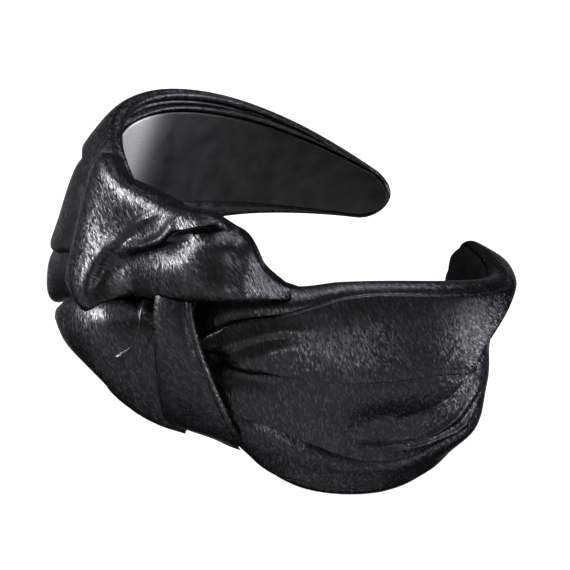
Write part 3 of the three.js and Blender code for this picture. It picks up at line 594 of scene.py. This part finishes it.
def closed_tube(name, points, along, weave_turn, material):
    """Closed mesh through a grid of rings: four-sided faces between rings and a fan to the middle of
    each end ring. The sign of its volume says whether the faces have to be turned to point outwards."""
    rings, count = points.shape[:2]
    uv = cloth_map(points, along, weave_turn)
    ends = np.stack([points[0].mean(0), points[-1].mean(0)])
    verts = np.concatenate([points.reshape(-1, 3), ends])
    i, j = np.meshgrid(np.arange(rings - 1), np.arange(count), indexing="ij")
    nxt = (j + 1) % count
    quads = np.stack([i * count + j, i * count + nxt, (i + 1) * count + nxt, (i + 1) * count + j], -1)
    quads = quads.reshape(-1, 4)
    quad_uv = np.stack([uv[i, j], uv[i, j + 1], uv[i + 1, j + 1], uv[i + 1, j]], -2).reshape(-1, 4, 2)
    k = np.arange(count)
    first = np.stack([(k + 1) % count, k, np.full(count, rings * count)], -1)
    last_ring = (rings - 1) * count
    last = np.stack([last_ring + k, last_ring + (k + 1) % count, np.full(count, rings * count + 1)], -1)
    first_uv = np.stack([uv[0, k + 1], uv[0, k], np.broadcast_to(uv[0].mean(0), (count, 2))], -2)
    last_uv = np.stack([uv[-1, k], uv[-1, k + 1], np.broadcast_to(uv[-1].mean(0), (count, 2))], -2)
    tris = np.concatenate([first, last])
    tri_uv = np.concatenate([first_uv, last_uv])
    a, b, c, d = (verts[quads[:, n]] for n in range(4))
    volume = np.sum(a * np.cross(b, c)) + np.sum(a * np.cross(c, d))
    if volume < 0:
        quads, quad_uv = quads[:, ::-1], quad_uv[:, ::-1]
        tris, tri_uv = tris[:, ::-1], tri_uv[:, ::-1]
    mesh = bpy.data.meshes.new(name)
    place = (verts + BAND_PLACE) * UNITS
    loops = np.concatenate([quads.ravel(), tris.ravel()])
    starts = np.concatenate([np.arange(len(quads)) * 4, len(quads) * 4 + np.arange(len(tris)) * 3])
    mesh.vertices.add(len(place))
    mesh.vertices.foreach_set("co", place.astype(np.float32).ravel())
    mesh.loops.add(len(loops))
    mesh.loops.foreach_set("vertex_index", loops.astype(np.int32))
    mesh.polygons.add(len(starts))
    mesh.polygons.foreach_set("loop_start", starts.astype(np.int32))
    mesh.polygons.foreach_set("use_smooth", np.ones(len(starts), bool))
    layer = mesh.uv_layers.new(name="cloth")
    flat = np.concatenate([quad_uv.reshape(-1, 2), tri_uv.reshape(-1, 2)])
    layer.data.foreach_set("uv", flat.astype(np.float32).ravel())
    mesh.update(calc_edges=True)
    mesh.validate()
    mesh.materials.append(material)
    piece = bpy.data.objects.new(name, mesh)
    bpy.context.scene.collection.objects.link(piece)
    return piece


def outward_normals(points):
    """Unit normals of a tube: the cross product of the steps along it and round it, pointing away from
    its middle."""
    along = np.gradient(points, axis=0)
    around = np.roll(points, -1, axis=1) - np.roll(points, 1, axis=1)
    normal = np.cross(along, around)
    normal = normal / (np.linalg.norm(normal, axis=-1, keepdims=True) + TINY)
    return normal * np.sign(np.sum(normal * (points - points.mean(axis=1, keepdims=True))))


def room_of(name, points):
    """Room that a piece takes up with the gap round it, as a mesh to cut its neighbours with."""
    along = np.zeros((points.shape[0], 1))
    return closed_tube(name + "_room", points + PIECE_GAP * outward_normals(points), along, 0, satin)


def keep_clear(piece, rooms):
    """Cuts the rooms of its neighbours out of a piece."""
    for room in rooms:
        cut = piece.modifiers.new("clear", "BOOLEAN")
        cut.operation = "DIFFERENCE"
        cut.solver = "MANIFOLD"
        cut.object = room
    whole = piece.data
    placed = piece.evaluated_get(bpy.context.evaluated_depsgraph_get())
    piece.data = bpy.data.meshes.new_from_object(placed)
    piece.data.name = piece.name
    piece.modifiers.clear()
    bpy.data.meshes.remove(whole)


def node(tree, kind, place, **values):
    """A shader node with its sockets set by name and its properties by keyword."""
    made = tree.nodes.new(kind)
    made.location = place
    for key, value in values.items():
        if key in made.inputs:
            made.inputs[key].default_value = value
        else:
            setattr(made, key, value)
    return made


def cloth_material(name):
    """An empty node material, with its tree and the cloth's UV map in it."""
    material = bpy.data.materials.new(name)
    material.use_nodes = True
    tree = material.node_tree
    tree.nodes.clear()
    return material, tree, node(tree, "ShaderNodeUVMap", (-1800, 0), uv_map="cloth").outputs["UV"]


def cloth_shader(tree, colour, normal, roughness, rim):
    """Shader of a cloth: threads that reflect in the colour given, their own dark colour with any painted
    sheen mixed in, and their tint towards the rim.
    """
    surface = node(tree, "ShaderNodeBsdfPrincipled", (0, 100))
    surface.inputs["Metallic"].default_value = 1.0
    surface.inputs["Roughness"].default_value = roughness
    surface.inputs["Specular Tint"].default_value = rim
    tree.links.new(colour, surface.inputs["Base Color"])
    tree.links.new(normal, surface.inputs["Normal"])
    output = node(tree, "ShaderNodeOutputMaterial", (300, 100))
    tree.links.new(surface.outputs["BSDF"], output.inputs["Surface"])


def bump_of(tree, place, height, strength, distance):
    """Bump node that a height drives."""
    bump = node(tree, "ShaderNodeBump", place, Strength=strength, Distance=distance)
    tree.links.new(height, bump.inputs["Height"])
    return bump


def thread_colours(tree, place, factor, stops):
    """Colour ramp through stops of position and colour, read at a factor."""
    ramp = node(tree, "ShaderNodeValToRGB", place)
    ends = ramp.color_ramp.elements
    for stop, (position, colour) in zip(ends, (stops[0], stops[-1])):
        stop.position = position
        stop.color = colour
    for position, colour in stops[1:-1]:
        ends.new(position).color = colour
    tree.links.new(factor, ramp.inputs["Fac"])
    return ramp.outputs["Color"]


def satin_finish():
    """Black satin: dark threads whose reflection hardly grows towards the rim. The floats are long
    narrow cells along the weave; each has its own brightness and tilt, so that a highlight breaks up
    into short bright dashes."""
    material, tree, uv = cloth_material("black_satin")
    link = tree.links.new
    stretch = node(tree, "ShaderNodeMapping", (-1600, 100))
    stretch.inputs["Scale"].default_value = (CLOTH_UNIT / FLOAT_LONG, CLOTH_UNIT / FLOAT_WIDE, 1.0)
    floats = node(tree, "ShaderNodeTexVoronoi", (-1400, 100), voronoi_dimensions="2D", Scale=1.0,
                  Randomness=FLOAT_RANDOM)
    soft = node(tree, "ShaderNodeTexNoise", (-1000, -450), **SOFT_NOISE)
    link(uv, stretch.inputs["Vector"])
    link(stretch.outputs["Vector"], floats.inputs["Vector"])
    link(uv, soft.inputs["Vector"])
    random = node(tree, "ShaderNodeSeparateColor", (-1200, 250))
    link(floats.outputs["Color"], random.inputs["Color"])
    colour = thread_colours(tree, (-600, 350), random.outputs["Red"], SATIN_THREADS)
    place = node(tree, "ShaderNodeVectorMath", (-1200, -100), operation="SUBTRACT")
    link(stretch.outputs["Vector"], place.inputs[0])
    link(floats.outputs["Position"], place.inputs[1])
    tilt = node(tree, "ShaderNodeVectorMath", (-1200, -300), operation="SUBTRACT")
    tilt.inputs[1].default_value = (0.5, 0.5, 0.5)
    link(floats.outputs["Color"], tilt.inputs[0])
    slope = node(tree, "ShaderNodeVectorMath", (-1000, -200), operation="DOT_PRODUCT")
    link(place.outputs["Vector"], slope.inputs[0])
    link(tilt.outputs["Vector"], slope.inputs[1])
    soft_bump = bump_of(tree, (-600, -350), soft.outputs["Fac"], SOFT_STRENGTH, SOFT_HEIGHT)
    float_bump = bump_of(tree, (-350, -200), slope.outputs["Value"], 1.0, FLOAT_HEIGHT)
    link(soft_bump.outputs["Normal"], float_bump.inputs["Normal"])
    cloth_shader(tree, colour, float_bump.outputs["Normal"], SATIN_ROUGHNESS, SATIN_RIM)
    return material


def lining_finish():
    """Black lining cloth: a close brushed surface, its grain from fine noise. Round the crown a painted sheen
    lightens its colour where it is seen along the surface, mottled by the grain."""
    material, tree, uv = cloth_material("black_lining")
    link = tree.links.new
    grain = node(tree, "ShaderNodeTexNoise", (-750, 100), **GRAIN_NOISE)
    patch = node(tree, "ShaderNodeTexNoise", (-750, -200), **PATCH_NOISE)
    link(uv, grain.inputs["Vector"])
    link(uv, patch.inputs["Vector"])
    colour = thread_colours(tree, (-450, 250), patch.outputs["Fac"], LINING_THREADS)
    # Painted sheen: round the crown the colour is lightened where the surface is seen along it, mottled by
    # the grain.
    split = node(tree, "ShaderNodeSeparateXYZ", (-750, 600))
    link(uv, split.inputs["Vector"])
    distance = node(tree, "ShaderNodeMath", (-650, 600), operation="ABSOLUTE")
    crown = node(tree, "ShaderNodeMapRange", (-550, 600), interpolation_type="SMOOTHSTEP")
    crown.inputs["From Min"].default_value = PAINTED_SHEEN_FULL_TO / CLOTH_UNIT
    crown.inputs["From Max"].default_value = PAINTED_SHEEN_GONE_FROM / CLOTH_UNIT
    crown.inputs["To Min"].default_value = 1.0
    crown.inputs["To Max"].default_value = 0.0
    link(split.outputs["X"], distance.inputs[0])
    link(distance.outputs["Value"], crown.inputs["Value"])
    view = node(tree, "ShaderNodeLayerWeight", (-750, 800), Blend=0.5)
    along = node(tree, "ShaderNodeMapRange", (-550, 850), interpolation_type="SMOOTHSTEP")
    along.inputs["From Min"].default_value = PAINTED_SHEEN_FACING[0]
    along.inputs["From Max"].default_value = PAINTED_SHEEN_FACING[1]
    link(view.outputs["Facing"], along.inputs["Value"])
    painted_sheen = node(tree, "ShaderNodeMath", (-350, 700), operation="MULTIPLY")
    link(crown.outputs["Result"], painted_sheen.inputs[0])
    link(along.outputs["Result"], painted_sheen.inputs[1])
    mottled_painted_sheen = node(tree, "ShaderNodeMath", (-200, 700), operation="MULTIPLY")
    link(painted_sheen.outputs["Value"], mottled_painted_sheen.inputs[0])
    link(grain.outputs["Fac"], mottled_painted_sheen.inputs[1])
    # Mixes the painted sheen into the threads' colour.
    colour_and_painted_sheen = node(tree, "ShaderNodeMix", (-50, 500), data_type="RGBA")
    colour_and_painted_sheen.inputs["B"].default_value = PAINTED_SHEEN_COLOUR
    link(mottled_painted_sheen.outputs["Value"], colour_and_painted_sheen.inputs["Factor"])
    link(colour, colour_and_painted_sheen.inputs["A"])
    bump = bump_of(tree, (-300, -150), grain.outputs["Fac"], GRAIN_STRENGTH, GRAIN_HEIGHT)
    cloth_shader(tree, colour_and_painted_sheen.outputs["Result"], bump.outputs["Normal"], LINING_ROUGHNESS, LINING_RIM)
    return material


satin = satin_finish()
lining_cloth = lining_finish()

surfaces = {
    "near_arm": arm_surface(NEAR_SECTIONS, NEAR_CREASES, NEAR_SWELLS, NEAR_LENGTH, -1),
    "far_arm": arm_surface(FAR_SECTIONS, FAR_CREASES, (), FAR_LENGTH, 1),
    "upper_fold": knot_surface(UPPER_FOLD, UPPER_CREASES, UPPER_SWELLS, FOLDED_EDGES, FOLD_BACK),
    "lower_fold": knot_surface(LOWER_FOLD, LOWER_CREASES, LOWER_SWELLS),
    "strap": knot_surface(STRAP, STRAP_CREASES, ()),
    "band_lining": lining_surface(),
}
pieces = {}
for piece_name, (surface_points, surface_along) in surfaces.items():
    cloth = lining_cloth if piece_name == "band_lining" else satin
    pieces[piece_name] = closed_tube(piece_name, surface_points, surface_along, WEAVE_TURN[piece_name], cloth)
rooms = {room_name: room_of(room_name, surfaces[room_name][0]) for room_name in ROOMS}
for piece_name, room_names in NEIGHBOURS.items():
    keep_clear(pieces[piece_name], [rooms[room_name] for room_name in room_names])
for room in rooms.values():
    bpy.data.meshes.remove(room.data)
for piece_name, piece in pieces.items():
    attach(piece, "root")
    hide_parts(REPLACED[piece_name])

# Camera where the photograph was taken from, in the band's millimetres.
CAMERA_PLACE = np.array([-343.1, -209.3, 206.5])
CAMERA_RIGHT = Vector((0.5591, -0.7577, 0.3365)).normalized()
CAMERA_VIEW = Vector((0.8076, 0.406, -0.4278)).normalized()
CAMERA_LENS = 96.39
CAMERA_SENSOR = 36.0
CAMERA_NEAREST = 0.01
camera_data = bpy.data.cameras.new("photo_camera")
camera_data.lens = CAMERA_LENS
camera_data.sensor_width = CAMERA_SENSOR
camera_data.clip_start = CAMERA_NEAREST
camera = bpy.data.objects.new("photo_camera", camera_data)
bpy.context.scene.collection.objects.link(camera)
camera_up = CAMERA_RIGHT.cross(CAMERA_VIEW).normalized()
camera_right = CAMERA_VIEW.cross(camera_up).normalized()
turn = Matrix((camera_right, camera_up, -CAMERA_VIEW)).transposed().to_4x4()
camera.matrix_world = Matrix.Translation(Vector((CAMERA_PLACE + BAND_PLACE) * UNITS)) @ turn
bpy.context.scene.camera = camera

# Plain pale floor and soft studio light. The floor gives off most of its own white, to match the photo's.
FLOOR_HALF = 4.0
FLOOR_LOOK = {
    "Base Color": (0.12, 0.12, 0.12, 1),
    "Roughness": 0.9,
    "Emission Color": (1, 1, 1, 1),
    "Emission Strength": 0.95,
}
WORLD_LOOK = {"Color": (1.0, 1.0, 1.0, 1), "Strength": 0.3}
LIGHT_TARGET = (0, 0, 0.035)
LIGHTS = (   # name, place to the camera's right, up and back in metres, size in metres, watts
    ("key_box", -0.95, 0.36, 0.06, (0.55, 0.55), 72),
    ("front_box", 0.5, -0.3, 0.92, (0.16, 0.16), 2.8),
    ("rim_box", 1.0, -0.02, -0.36, (0.8, 0.45), 34),
    ("over_box", 0.1, 1.0, 0.5, (0.7, 0.7), 4),
    ("top_box", 0.5, 1.35, -0.3, (1.2, 1.2), 42),
)
floor_mesh = bpy.data.meshes.new("floor")
floor_corners = [(FLOOR_HALF * x, FLOOR_HALF * y, 0) for x, y in ((-1, -1), (1, -1), (1, 1), (-1, 1))]
floor_mesh.from_pydata(floor_corners, [], [(0, 1, 2, 3)])
floor = bpy.data.objects.new("floor", floor_mesh)
bpy.context.scene.collection.objects.link(floor)
pale = bpy.data.materials.new("pale_floor")
pale.use_nodes = True
for socket, value in FLOOR_LOOK.items():
    pale.node_tree.nodes["Principled BSDF"].inputs[socket].default_value = value
floor_mesh.materials.append(pale)

world = bpy.data.worlds.new("studio")
world.use_nodes = True
for socket, value in WORLD_LOOK.items():
    world.node_tree.nodes["Background"].inputs[socket].default_value = value
bpy.context.scene.world = world


def soft_box(name, side, up, back, size, power):
    """Square light at a place given in the camera's own directions from the band's middle, facing the
    band."""
    target = Vector(LIGHT_TARGET)
    away = camera_right * side + camera_up * up - CAMERA_VIEW * back
    data = bpy.data.lights.new(name, "AREA")
    data.shape = "RECTANGLE"
    data.size = size[0]
    data.size_y = size[1]
    data.energy = power
    lamp = bpy.data.objects.new(name, data)
    bpy.context.scene.collection.objects.link(lamp)
    facing = (-away).to_track_quat("-Z", "Y").to_matrix().to_4x4()
    lamp.matrix_world = Matrix.Translation(target + away) @ facing


for light in LIGHTS:
    soft_box(*light)

bpy.context.scene.view_settings.view_transform = "Standard"
